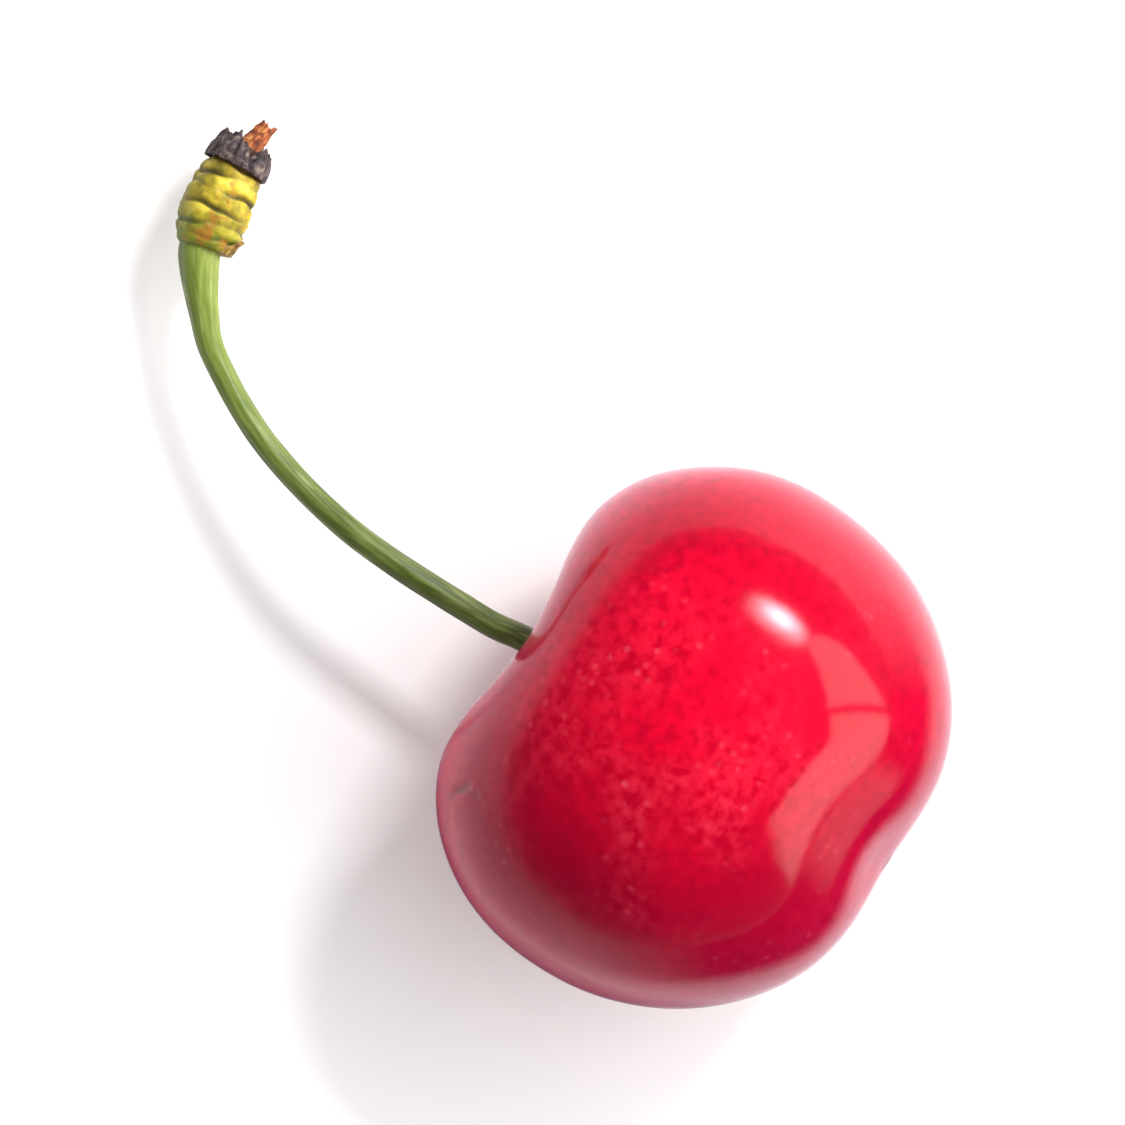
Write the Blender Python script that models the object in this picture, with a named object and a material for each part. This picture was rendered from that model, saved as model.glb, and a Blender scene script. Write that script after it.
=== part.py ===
"""A sweet cherry on its stalk, lying as it was picked.

Six kinds of piece: the fruit, its stalk, the ringed end of the spur that the stalk grew from, the dry
bud scales round that end, the torn wood inside them and one dry bract at its foot. Units are metres.
The cherry lies on the plane z = 0, with the origin in the middle of the small flat that it rests on.
+Y is level and points from the fruit towards the stalk, and +Z is up.
"""
import math

import bmesh
import bpy
from mathutils import Matrix, Vector

MM = 0.001
GAP = 0.3 * MM                 # between pieces that meet

# The fruit. Its own axes are x from cheek to cheek, y from the back to the seam side, z towards the stalk.
HALF_WIDTH = 13.45 * MM        # cheek to cheek
HALF_THICKNESS = 11.6 * MM     # back to seam
HALF_LENGTH_STEM = 10.35 * MM  # from the middle to the stalk end, before its hollow is sunk
HALF_LENGTH_TIP = 12.05 * MM   # from the middle to the flower end
FULLNESS_LONG = 2.17           # 2 is an ellipse, more is squarer
FULLNESS_ROUND = 2.15
CAVITY_DEPTH = 3.72 * MM       # the hollow that the stalk stands in
CAVITY_SPREAD = 0.446          # radians from the axis
SHOULDER_LIFT = 0.9 * MM       # the cheeks stand up on both sides of the hollow
SHOULDER_ANGLE = 0.62
DIMPLE_DEPTH = 0.52 * MM       # the scar of the flower
DIMPLE_SPREAD = 0.205
TIP_LIFT = 0.48 * MM
TIP_ANGLE = 0.514
SEAM_DEPTH = 0.16 * MM         # the shallow line down one side
SEAM_HALF_WIDTH = 0.6 * MM
SEAM_FADE = 0.4                # the seam runs out this near the axis, as a sine
FRUIT_TILT = math.radians(16)  # the stalk end leans down
FRUIT_MIDDLE = Vector((0.0, 0.78, 11.2)) * MM   # low enough to press the skin flat by 0.3 mm
FRUIT_DETAIL = 5               # levels of an icosphere

# The stalk: its foot stands in the hollow, clear of the curved bottom, and these points lead to the knob.
FRUIT_AXIS = Vector((0.0, math.cos(FRUIT_TILT), -math.sin(FRUIT_TILT)))
FOOT_HEIGHT = 0.65 * MM
STALK_FOOT = FRUIT_MIDDLE + FRUIT_AXIS * (HALF_LENGTH_STEM - CAVITY_DEPTH + FOOT_HEIGHT)
STALK_ROUTE = [STALK_FOOT] + [Vector(point) * MM for point in (
    (-0.25, 10.05, 8.6),
    (-0.5, 12.55, 8.15),
    (-0.35, 19.65, 7.25),
    (1.05, 25.75, 5.85),
    (3.3, 30.15, 4.8),
    (5.0, 31.95, 4.45),
    (7.12, 33.45, 4.2),
)]
STALK_RADIUS = 0.64 * MM
STALK_FOOT_RADIUS = 0.88 * MM  # where it spreads towards the fruit
STALK_FOOT_LENGTH = 1.6 * MM
STALK_HEAD_RADIUS = 1.05 * MM  # where it swells under the knob
STALK_HEAD_LENGTH = 3.1 * MM
STALK_STEP = 0.6 * MM
STALK_SIDES = 12

# The knob: a short piece of spur, ringed by the scars of fallen bud scales.
KNOB_ROUTE = [Vector(point) * MM for point in (
    (7.57, 33.65, 4.15),
    (9.88, 34.25, 3.95),
    (12.26, 34.62, 3.7),
    (14.86, 34.75, 3.4),
)]
KNOB_LENGTH = 5.5 * MM
KNOB_RADIUS = 1.76 * MM
KNOB_FOOT_RADIUS = 1.12 * MM
KNOB_NECK_RADIUS = 1.05 * MM
KNOB_BLUNTNESS = 0.35          # small is a square-ended barrel, 1 is a spindle
KNOB_BARREL = 5 / 6            # the part of its length below the neck
KNOB_UNEVENNESS = 0.03
RING_COUNT = 6
RING_HEIGHT = 0.11 * MM
RING_SHARPNESS = 0.7
KNOB_STEP = 0.14 * MM
KNOB_SIDES = 28

# Each scale: its height along the knob, its angle round it and half the arc that it covers.
SCALES = (
    (1.75 * MM, math.radians(-60), math.radians(41)),
    (1.45 * MM, math.radians(30), math.radians(40)),
    (1.85 * MM, math.radians(118), math.radians(38)),
    (1.5 * MM, math.radians(208), math.radians(40)),
)
SCALE_START = 4.45 * MM
SCALE_THICKNESS = 0.14 * MM
SCALE_FOOT_RADIUS = 1.62 * MM
SCALE_TOP_RADIUS = 1.2 * MM
SCALE_TAPER = 0.75
SCALE_STEPS = 8

TIP_START = KNOB_LENGTH + GAP
TIP_LENGTH = 1.35 * MM
TIP_RADIUS = 0.55 * MM
TIP_TAPER = 0.55
TIP_RAGGEDNESS = 0.12
TIP_SIDES = 14

BRACT_LENGTH = 1.15 * MM
BRACT_HALF_WIDTH = 0.55 * MM
BRACT_THICKNESS = 0.16 * MM
BRACT_TAPER = 0.85
BRACT_TURN = math.radians(30)  # from level towards the top, round the knob's foot
BRACT_STEPS = 5


def clear_scene():
    for thing in list(bpy.data.objects):
        bpy.data.objects.remove(thing, do_unlink=True)


def finish(name, colour, roughness, coat=0.0):
    """One Principled BSDF material."""
    material = bpy.data.materials.new(name)
    material.use_nodes = True
    shader = material.node_tree.nodes["Principled BSDF"]
    shader.inputs["Base Color"].default_value = (*colour, 1.0)
    shader.inputs["Roughness"].default_value = roughness
    shader.inputs["Metallic"].default_value = 0.0
    shader.inputs["Coat Weight"].default_value = coat
    return material


def add_piece(name, shape, material):
    """Turn a bmesh into one named, smooth object."""
    shape.normal_update()
    bmesh.ops.recalc_face_normals(shape, faces=shape.faces)
    mesh = bpy.data.meshes.new(name)
    shape.to_mesh(mesh)
    shape.free()
    mesh.materials.append(material)
    mesh.shade_smooth()
    piece = bpy.data.objects.new(name, mesh)
    bpy.context.scene.collection.objects.link(piece)
    return piece


# ---- the fruit ----

def hump(u):
    """0 at the axis, 1 at u = 1, and nearly gone by u = 2.5."""
    return u * u * math.exp(1.0 - u * u)


def fruit_reach(direction):
    """How far the skin is from the fruit's middle along a unit direction."""
    from_stem = math.acos(max(-1.0, min(1.0, direction.z)))
    from_tip = math.pi - from_stem
    side = math.hypot(direction.x, direction.y)
    turn = math.atan2(direction.y, direction.x)
    girth = (abs(math.cos(turn) / HALF_WIDTH) ** FULLNESS_ROUND
             + abs(math.sin(turn) / HALF_THICKNESS) ** FULLNESS_ROUND) ** (-1.0 / FULLNESS_ROUND)
    length = HALF_LENGTH_STEM if direction.z > 0 else HALF_LENGTH_TIP
    reach = ((side / girth) ** FULLNESS_LONG
             + (abs(direction.z) / length) ** FULLNESS_LONG) ** (-1.0 / FULLNESS_LONG)
    reach -= CAVITY_DEPTH * math.exp(-(from_stem / CAVITY_SPREAD) ** 2)
    reach -= DIMPLE_DEPTH * math.exp(-(from_tip / DIMPLE_SPREAD) ** 2)
    lift = SHOULDER_LIFT * hump(from_stem / SHOULDER_ANGLE) + TIP_LIFT * hump(from_tip / TIP_ANGLE)
    reach += lift * math.cos(2.0 * turn)
    if direction.y > 0:
        off_seam = direction.x * reach / SEAM_HALF_WIDTH
        reach -= SEAM_DEPTH * math.exp(-off_seam ** 2) * min(1.0, side / SEAM_FADE)
    return reach


def build_fruit():
    """A ball of even triangles, pushed out to the cherry's own shape and laid on its seam side."""
    ball = bmesh.new()
    bmesh.ops.create_icosphere(ball, subdivisions=FRUIT_DETAIL, radius=1.0)
    lay_down = Matrix.Rotation(-math.pi / 2 - FRUIT_TILT, 3, "X")
    for vert in ball.verts:
        direction = vert.co.normalized()
        vert.co = FRUIT_MIDDLE + lay_down @ (direction * fruit_reach(direction))
        vert.co.z = max(0.0, vert.co.z)
    return add_piece("fruit", ball, finish("skin", (0.58, 0.01, 0.03), 0.22, coat=0.5))


# ---- pieces swept along a route ----

def route_point(route, u):
    """Catmull-Rom curve through the route's points, u from 0 to the number of spans."""
    span = min(int(u), len(route) - 2)
    t = u - span
    b, c = route[span], route[span + 1]
    a = route[span - 1] if span > 0 else b * 2 - c
    d = route[span + 2] if span + 2 < len(route) else c * 2 - b
    return 0.5 * ((2 * b) + (c - a) * t + (2 * a - 5 * b + 4 * c - d) * t ** 2
                  + (3 * b - a - 3 * c + d) * t ** 3)


def even_points(route, step, fineness=40):
    """Points about one step apart all along the curve, with both of its ends, and its length."""
    fine = [route_point(route, i / fineness) for i in range(fineness * (len(route) - 1) + 1)]
    travelled = [0.0]
    for before, after in zip(fine, fine[1:]):
        travelled.append(travelled[-1] + (after - before).length)
    length = travelled[-1]
    count = max(2, round(length / step))
    points = []
    reached = 0
    for i in range(count + 1):
        target = length * i / count
        while travelled[reached + 1] < target and reached + 2 < len(fine):
            reached += 1
        part = (target - travelled[reached]) / (travelled[reached + 1] - travelled[reached])
        points.append(fine[reached].lerp(fine[reached + 1], part))
    return points, length


def frames_along(points):
    """(point, forward, side, up) at each point, turned as little as possible on the way."""
    frames = []
    side = (points[1] - points[0]).cross(Vector((0.0, 0.0, 1.0)))
    for i, point in enumerate(points):
        forward = (points[min(i + 1, len(points) - 1)] - points[max(i - 1, 0)]).normalized()
        side = (side - forward * side.dot(forward)).normalized()
        frames.append((point, forward, side, side.cross(forward)))
    return frames


def turns(sides):
    return [2 * math.pi * i / sides for i in range(sides)]


def ring_at(frame, radii):
    """A ring round one frame, with one radius for each of its evenly spaced points."""
    point, _, side, up = frame
    return [point + (side * math.cos(turn) + up * math.sin(turn)) * radius
            for turn, radius in zip(turns(len(radii)), radii)]


def skin_rings(rings):
    """Join rings of points, in order, into one closed tube with flat ends."""
    tube = bmesh.new()
    rows = [[tube.verts.new(point) for point in ring] for ring in rings]
    count = len(rows[0])
    for row, following in zip(rows, rows[1:]):
        for i in range(count):
            tube.faces.new((row[i], row[(i + 1) % count], following[(i + 1) % count], following[i]))
    tube.faces.new(rows[0][::-1])
    tube.faces.new(rows[-1])
    return tube


def stalk_radius(along, length):
    foot = math.exp(-(along / STALK_FOOT_LENGTH) ** 2)
    head = math.exp(-((length - along) / STALK_HEAD_LENGTH) ** 2)
    return (STALK_RADIUS + (STALK_FOOT_RADIUS - STALK_RADIUS) * foot
            + (STALK_HEAD_RADIUS - STALK_RADIUS) * head)


def build_stalk():
    """A thin stalk, wider at the fruit and under the knob."""
    points, length = even_points(STALK_ROUTE, STALK_STEP)
    rings = []
    for i, frame in enumerate(frames_along(points)):
        radius = stalk_radius(length * i / (len(points) - 1), length)
        rings.append(ring_at(frame, [radius] * STALK_SIDES))
    return add_piece("stalk", skin_rings(rings), finish("green_stalk", (0.12, 0.19, 0.03), 0.5))


def knob_frames(start, end, step):
    """The frames of the knob's route between two lengths along it."""
    points, length = even_points(KNOB_ROUTE, step)
    frames = frames_along(points)
    return [frame for i, frame in enumerate(frames) if start <= length * i / (len(points) - 1) <= end]


def knob_radius(t, turn):
    """A blunt barrel with ring scars and a narrower neck; t runs 0 to 1 along it."""
    end = KNOB_FOOT_RADIUS + (KNOB_NECK_RADIUS - KNOB_FOOT_RADIUS) * t
    swelling = max(0.0, math.sin(math.pi * min(1.0, t / KNOB_BARREL))) ** KNOB_BLUNTNESS
    body = end + (KNOB_RADIUS - end) * swelling
    ring = abs(math.sin(math.pi * RING_COUNT * t)) ** RING_SHARPNESS
    uneven = KNOB_UNEVENNESS * (math.sin(2 * turn + 7 * t) + 0.6 * math.sin(3 * turn - 11 * t))
    return body * (1.0 + uneven) + RING_HEIGHT * (ring - 0.5)


def build_knob():
    frames = knob_frames(0.0, KNOB_LENGTH, KNOB_STEP)
    rings = []
    for i, frame in enumerate(frames):
        t = i / (len(frames) - 1)
        rings.append(ring_at(frame, [knob_radius(t, turn) for turn in turns(KNOB_SIDES)]))
    return add_piece("spur_knob", skin_rings(rings), finish("ringed_bark", (0.62, 0.5, 0.06), 0.6))


def build_tip():
    """The torn stump of wood that stands inside the scales."""
    frames = knob_frames(TIP_START, TIP_START + TIP_LENGTH, KNOB_STEP)
    rings = []
    for i, frame in enumerate(frames):
        t = i / (len(frames) - 1)
        radius = TIP_RADIUS * (1.0 - TIP_TAPER * t ** 2)
        rings.append(ring_at(frame, [radius * (1.0 + TIP_RAGGEDNESS * math.sin(3 * turn + 4 * t))
                                     for turn in turns(TIP_SIDES)]))
    return add_piece("torn_tip", skin_rings(rings), finish("torn_wood", (0.6, 0.2, 0.04), 0.65))


# ---- the thin dry pieces ----

def thin_solid(name, grid, thickness, material):
    """A grid of points as a sheet with a thickness, half of it on each side."""
    sheet = bmesh.new()
    rows = [[sheet.verts.new(point) for point in row] for row in grid]
    for row, following in zip(rows, rows[1:]):
        for i in range(len(row) - 1):
            sheet.faces.new((row[i], row[i + 1], following[i + 1], following[i]))
    piece = add_piece(name, sheet, material)
    solid = piece.modifiers.new("thickness", "SOLIDIFY")
    solid.thickness = thickness
    solid.offset = 0.0
    return piece


def scale_row(frame, rise, around, arc):
    """One row of a scale's points across it; rise runs 0 at its foot to 1 at its top."""
    point, _, side, up = frame
    radius = SCALE_FOOT_RADIUS + (SCALE_TOP_RADIUS - SCALE_FOOT_RADIUS) * rise ** 2
    reach = arc * (1.0 - SCALE_TAPER * rise ** 2)
    row = []
    for i in range(SCALE_STEPS + 1):
        turn = around + reach * (2 * i / SCALE_STEPS - 1)
        row.append(point + (side * math.cos(turn) + up * math.sin(turn)) * radius)
    return row


def build_scales():
    """Four dry scales that close round the neck of the knob like a ragged collar."""
    brown = finish("dry_scale", (0.05, 0.035, 0.03), 0.7)
    for number, (height, around, arc) in enumerate(SCALES, start=1):
        frames = knob_frames(SCALE_START, SCALE_START + height, height / (2 * SCALE_STEPS))
        grid = []
        for i in range(SCALE_STEPS + 1):
            rise = i / SCALE_STEPS
            grid.append(scale_row(frames[round(rise * (len(frames) - 1))], rise, around, arc))
        thin_solid(f"bud_scale_{number}", grid, SCALE_THICKNESS, brown)


def build_bract():
    """One dry leaf point that stands out at the foot of the knob."""
    point, forward, side, up = knob_frames(0.0, KNOB_LENGTH, KNOB_STEP)[0]
    away = side * math.cos(BRACT_TURN) + up * math.sin(BRACT_TURN)
    across = up * math.cos(BRACT_TURN) - side * math.sin(BRACT_TURN)
    foot = point + away * (KNOB_FOOT_RADIUS + GAP)
    outward = (away + forward).normalized()
    grid = []
    for i in range(BRACT_STEPS + 1):
        t = i / BRACT_STEPS
        half = BRACT_HALF_WIDTH * (1.0 - BRACT_TAPER * t)
        middle = foot + outward * BRACT_LENGTH * t
        grid.append([middle + across * half * place for place in (-1.0, -0.5, 0.0, 0.5, 1.0)])
    return thin_solid("bract", grid, BRACT_THICKNESS, finish("dry_bract", (0.2, 0.13, 0.06), 0.7))


def main():
    clear_scene()
    build_fruit()
    build_stalk()
    build_knob()
    build_tip()
    build_scales()
    build_bract()


main()
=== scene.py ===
# %% [markdown]
# # A sweet cherry on its stalk
# One whole cherry lies on a pale surface: a glossy red fruit, a thin curved green stalk, and the ringed
# yellow end of the spur that the stalk grew from, closed by dry dark bud scales round a torn orange tip.
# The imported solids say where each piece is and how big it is. This script makes the surfaces that are
# seen: it rebuilds each piece with its fine shape, gives it the finish of the living thing, and lights it.

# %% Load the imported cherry
import math

import bmesh
import bpy
import numpy as np
from mathutils import Matrix, Vector, noise


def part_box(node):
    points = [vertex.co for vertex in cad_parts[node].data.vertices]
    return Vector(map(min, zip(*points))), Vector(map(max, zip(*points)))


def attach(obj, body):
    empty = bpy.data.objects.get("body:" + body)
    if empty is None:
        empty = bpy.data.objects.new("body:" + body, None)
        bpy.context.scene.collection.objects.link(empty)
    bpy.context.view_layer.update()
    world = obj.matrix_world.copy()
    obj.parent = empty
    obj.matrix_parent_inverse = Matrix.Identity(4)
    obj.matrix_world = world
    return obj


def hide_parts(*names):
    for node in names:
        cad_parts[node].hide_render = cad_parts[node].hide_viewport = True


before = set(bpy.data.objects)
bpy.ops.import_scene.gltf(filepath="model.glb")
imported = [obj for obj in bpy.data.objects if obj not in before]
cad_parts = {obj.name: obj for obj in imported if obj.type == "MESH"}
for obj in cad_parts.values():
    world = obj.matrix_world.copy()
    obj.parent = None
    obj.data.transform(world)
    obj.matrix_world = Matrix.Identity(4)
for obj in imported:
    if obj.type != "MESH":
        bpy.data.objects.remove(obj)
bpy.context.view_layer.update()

print("packed nodes:", sorted(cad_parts))

# %% [markdown]
# ## Tools for every piece
# Lengths are written in millimetres and turned to metres with MM. Colours are sRGB hex values, as a
# colour picker shows them, and one function turns them to the linear values that a shader works with.
# One function adds a node with its settings, values and links, so that a material reads as a short list
# from the coordinates to the shader.

# %% Units, colours and nodes
MM = 0.001


def linear(hex_colour):
    """An sRGB hex value such as "#B4001E" as linear red, green, blue and full alpha."""
    parts = [int(hex_colour[i:i + 2], 16) / 255 for i in (1, 3, 5)]
    return tuple(c / 12.92 if c <= 0.04045 else ((c + 0.055) / 1.055) ** 2.4 for c in parts) + (1.0,)


def add(tree, kind, settings=None, inputs=None):
    """Add a node, with its settings and then its inputs, each by its name or its number.

    A node as an input is linked from its first output in use. A socket is linked as it is, a hex
    string is a colour, and the rest are values.
    """
    node = tree.nodes.new("ShaderNode" + kind)
    for name, value in (settings or {}).items():
        if name == "stops":
            ramp = node.color_ramp.elements
            while len(ramp) < len(value):
                ramp.new(0.5)
            for stop, (place, colour) in zip(ramp, value):
                stop.position = place
                stop.color = linear(colour)
        else:
            setattr(node, name, value)
    for name, value in (inputs or {}).items():
        socket = next(s for number, s in enumerate(node.inputs) if s.enabled and name in (s.name, number))
        if isinstance(value, bpy.types.Node):
            value = next(s for s in value.outputs if s.enabled)
        if isinstance(value, bpy.types.NodeSocket):
            tree.links.new(value, socket)
        else:
            socket.default_value = linear(value) if isinstance(value, str) else value
    return node


def new_material(name):
    """A material without any nodes yet, and its node tree."""
    material = bpy.data.materials.new(name)
    material.use_nodes = True
    material.node_tree.nodes.clear()
    return material, material.node_tree


def per_mm(size):
    """The texture scale whose pattern repeats about every size millimetres."""
    return 1.0 / (size * MM)


print("deep cherry red, linear:", np.round(linear("#B4001E"), 3))

# %% [markdown]
# ## Meshes from rows of points
# The stalk, the knob and the torn tip are all skins stretched over rings, and the scales and the bract
# are thin sheets of rows. Working the points out as numpy arrays keeps this fast enough for the tens of
# thousands of points that give a smooth outline. Each point may carry named values, such as how deep it
# lies in a groove or where it was before the stalk was bent, and the materials read those values.

# %% Mesh helpers
def add_piece(name, points, faces, values=None):
    """One smooth mesh object in the row frame, with a value or a vector at each point."""
    mesh = bpy.data.meshes.new(name)
    mesh.from_pydata(points.tolist(), [], faces)
    mesh.validate()
    for key, array in (values or {}).items():
        kind = "FLOAT" if array.ndim == 1 else "FLOAT_VECTOR"
        slot = mesh.attributes.new(key, kind, "POINT")
        slot.data.foreach_set("value" if array.ndim == 1 else "vector", array.astype(np.float32).ravel())
    mesh.shade_smooth()
    piece = bpy.data.objects.new(name, mesh)
    bpy.context.scene.collection.objects.link(piece)
    print(f"{name}: {len(mesh.vertices)} points, {len(mesh.polygons)} faces")
    return piece


def ring_faces(rows, columns):
    """Quads that join rings into a tube, and a fan of triangles to one extra point at each end."""
    faces = []
    for i in range(rows - 1):
        for j in range(columns):
            k = (j + 1) % columns
            faces.append((i * columns + j, i * columns + k, (i + 1) * columns + k, (i + 1) * columns + j))
    first, last = rows * columns, rows * columns + 1
    top = (rows - 1) * columns
    for j in range(columns):
        k = (j + 1) % columns
        faces.append((first, k, j))
        faces.append((last, top + j, top + k))
    return faces


def sheet_faces(rows, columns):
    """Quads that join rows of points into an open sheet."""
    return [(i * columns + j, i * columns + j + 1, (i + 1) * columns + j + 1, (i + 1) * columns + j)
            for i in range(rows - 1) for j in range(columns - 1)]


def rough(points, size, seed=0.0):
    """Smooth noise from about -1 to 1 at each point, with bumps about size metres apart."""
    shift = Vector((seed, seed * 1.7, seed * 0.6))
    return np.array([noise.noise(Vector(p) / size + shift) for p in points])


# %% Routes and rings
FINE_POINTS = 60            # worked out on each stretch between two points of a route


def route_points(route, step):
    """Points one step apart along a Catmull-Rom curve through the route, and the distance to each."""
    ends = np.vstack([2 * route[0] - route[1], route, 2 * route[-1] - route[-2]])
    fine = [ends[1]]
    for a, b, c, d in zip(ends, ends[1:], ends[2:], ends[3:]):
        for t in np.linspace(0, 1, FINE_POINTS)[1:]:
            fine.append(0.5 * (2 * b + (c - a) * t + (2 * a - 5 * b + 4 * c - d) * t ** 2
                               + (3 * b - a - 3 * c + d) * t ** 3))
    fine = np.array(fine)
    travelled = np.concatenate([[0], np.cumsum(np.linalg.norm(np.diff(fine, axis=0), axis=1))])
    along = np.linspace(0, travelled[-1], max(2, round(travelled[-1] / step)) + 1)
    return np.stack([np.interp(along, travelled, fine[:, i]) for i in range(3)], axis=1), along


def frames_on(points):
    """Forward, side and up directions at each point, turned as little as possible on the way."""
    forward = np.gradient(points, axis=0)
    forward /= np.linalg.norm(forward, axis=1, keepdims=True)
    sides = []
    side = np.cross(forward[0], (0.0, 0.0, 1.0))
    for direction in forward:
        side = side - direction * side.dot(direction)
        side /= np.linalg.norm(side)
        sides.append(side)
    sides = np.array(sides)
    return forward, sides, np.cross(sides, forward)


def swept(points, radii, turns):
    """Rings of points round a route: radii is rows by columns, turns the angle of each column."""
    _, sides, ups = frames_on(points)
    outward = (np.cos(turns)[None, :, None] * sides[:, None, :]
               + np.sin(turns)[None, :, None] * ups[:, None, :])
    rings = points[:, None, :] + outward * radii[:, :, None]
    return np.vstack([rings.reshape(-1, 3), points[:1], points[-1:]])


def straight(along, radii, turns):
    """The same points as they were before the route bent them, for textures that follow the growth."""
    rings = np.stack([np.broadcast_to(along[:, None], radii.shape),
                      radii * np.cos(turns), radii * np.sin(turns)], axis=-1)
    ends = np.array([[along[0], 0, 0], [along[-1], 0, 0]])
    return np.vstack([rings.reshape(-1, 3), ends])


# %% [markdown]
# ## The fruit's shape
# A cherry is nearly a ball, but what the eye knows it by is how it leaves the ball: wider from cheek to
# cheek than it is long, square in the shoulders, with two cheeks that stand up beside the hollow of the
# stalk, a small dent where the flower was, and a faint seam down one side. So the ball of even triangles
# is pushed out to a distance worked out from the direction alone. A box cut by Subdivision Surface would
# be quicker to make, but its corners show in a glossy skin.

# %% The fruit's own measures
HALF_WIDTH, HALF_THICKNESS = 13.45 * MM, 11.6 * MM
HALF_LENGTH_STEM, HALF_LENGTH_TIP = 10.35 * MM, 12.05 * MM
FULLNESS_LONG, FULLNESS_ROUND = 2.17, 2.15          # 2 is an ellipse, and more is squarer
CAVITY_DEPTH, CAVITY_SPREAD = 3.72 * MM, 0.446      # spreads and angles are in radians from the axis
SHOULDER_LIFT, SHOULDER_ANGLE = 0.9 * MM, 0.62
DIMPLE_DEPTH, DIMPLE_SPREAD = 0.52 * MM, 0.205
TIP_LIFT, TIP_ANGLE = 0.48 * MM, 0.514
FRUIT_TILT = math.radians(16)
FRUIT_MIDDLE = np.array((0.0, 0.78, 11.2)) * MM
FRUIT_AXIS = np.array((0.0, math.cos(FRUIT_TILT), -math.sin(FRUIT_TILT)))


def hump(u):
    """0 at the axis, 1 at u = 1, and nearly gone by u = 2.5."""
    return u * u * np.exp(1.0 - u * u)


def fruit_reach(way):
    """How far the smooth skin is from the middle; each way is cheek, back to seam, towards the stalk."""
    from_stem = np.arccos(np.clip(way[:, 2], -1, 1))
    from_tip = math.pi - from_stem
    side = np.hypot(way[:, 0], way[:, 1])
    turn = np.arctan2(way[:, 1], way[:, 0])
    girth = ((np.abs(np.cos(turn)) / HALF_WIDTH) ** FULLNESS_ROUND
             + (np.abs(np.sin(turn)) / HALF_THICKNESS) ** FULLNESS_ROUND) ** (-1 / FULLNESS_ROUND)
    length = np.where(way[:, 2] > 0, HALF_LENGTH_STEM, HALF_LENGTH_TIP)
    reach = ((side / girth) ** FULLNESS_LONG
             + (np.abs(way[:, 2]) / length) ** FULLNESS_LONG) ** (-1 / FULLNESS_LONG)
    reach -= CAVITY_DEPTH * np.exp(-(from_stem / CAVITY_SPREAD) ** 2)
    reach -= DIMPLE_DEPTH * np.exp(-(from_tip / DIMPLE_SPREAD) ** 2)
    lift = SHOULDER_LIFT * hump(from_stem / SHOULDER_ANGLE) + TIP_LIFT * hump(from_tip / TIP_ANGLE)
    return reach + lift * np.cos(2 * turn)


print("ball before its hollow and dents, mm:", np.round(np.array((
    2 * HALF_WIDTH, HALF_LENGTH_STEM + HALF_LENGTH_TIP, 2 * HALF_THICKNESS)) / MM, 1))

# %% [markdown]
# ## What time and touch did to the skin
# A smooth formula gives a plastic toy. A real skin swells a little unevenly, is drawn in fine folds
# where it dives to the stalk, shows its seam as a shallow line and has a few short creases where it was
# pressed. These are small moves of the same points, a fiftieth to a sixth of a millimetre, so that they
# bend the reflections without changing the outline.

# %% The skin's small shapes
SEAM_DEPTH, SEAM_HALF_WIDTH, SEAM_RUN_OUT = 0.16 * MM, 0.6 * MM, 0.4
SWELL = ((6.0 * MM, 0.07 * MM), (2.6 * MM, 0.018 * MM))        # size and height of the unevenness
PUCKERS, PUCKER_DEPTH, PUCKER_SPREAD = 13, 0.09 * MM, 0.30
SCAR_RADIUS, SCAR_HEIGHT, SCAR_TURN = 0.5 * MM, 0.12 * MM, math.radians(14)     # left by the flower
# Each crease runs between two points of the skin, seen from above, with its depth.
CREASES = (
    ((-8.8, 9.0), (-7.7, 8.5), 0.07 * MM),
    ((-8.2, 8.8), (-7.9, 7.9), 0.06 * MM),
)
# painted shade: the creases are painted darker, fully so at a depth of 0.2 mm
CREASE_HALF_WIDTH, CREASE_FULL_SHADE = 0.2 * MM, 0.2 * MM          # darkest is the depth of full colour
CREASE_LIP, LIP_AWAY, LIP_WIDTH = 0.35, 1.7, 0.7                # shares of the depth and half width


def crease_depth(skin):
    """How far each point of the laid-down skin sinks into the creases on its upper side."""
    sunk = np.zeros(len(skin))
    flat = skin[:, :2]
    upper = np.clip((skin[:, 2] - FRUIT_MIDDLE[2] * 0.9) / (2 * MM), 0, 1)
    for start, end, depth in CREASES:
        a, b = np.array(start) * MM, np.array(end) * MM
        t = np.clip((flat - a) @ (b - a) / (b - a).dot(b - a), 0, 1)
        away = np.linalg.norm(flat - a - t[:, None] * (b - a), axis=1) / CREASE_HALF_WIDTH
        lip = CREASE_LIP * np.exp(-((away - LIP_AWAY) / LIP_WIDTH) ** 2)
        sunk += depth * (np.exp(-away ** 2) - lip) * upper
    return sunk


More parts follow.
